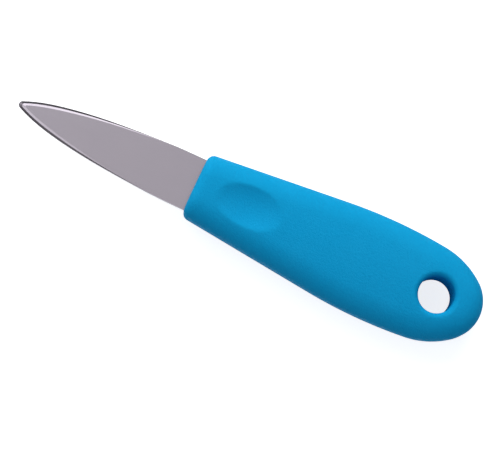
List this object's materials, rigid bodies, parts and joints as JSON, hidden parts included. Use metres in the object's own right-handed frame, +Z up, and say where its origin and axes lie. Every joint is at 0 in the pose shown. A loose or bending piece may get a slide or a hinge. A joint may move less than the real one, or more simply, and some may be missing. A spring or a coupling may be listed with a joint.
{
  "type": "oyster knife",
  "caption": "Short oyster knife with a pointed double-ground steel blade and a moulded soft-grip handle with thumb dimples and a hang hole.",
  "frame": {"origin": "under the middle of the knife's bounding box, on the surface that the knife lies on", "axes": "+X along the knife from the blade's tip to the handle's butt, +Y across the handle, +Z up, square to the flat of the blade"},
  "size_m": [0.165, 0.0336, 0.0184],
  "materials": {
    "blade_steel": "satin stainless steel, polished grinding along the edges",
    "core_plastic": "plain moulded polypropylene, hidden",
    "grip_rubber": "matte soft-touch blue elastomer with a fine moulded texture"
  },
  "bodies": {
    "root": {"blade": "blade_steel", "handle_core": "core_plastic", "soft_grip": "grip_rubber"}
  },
  "joints": []
}
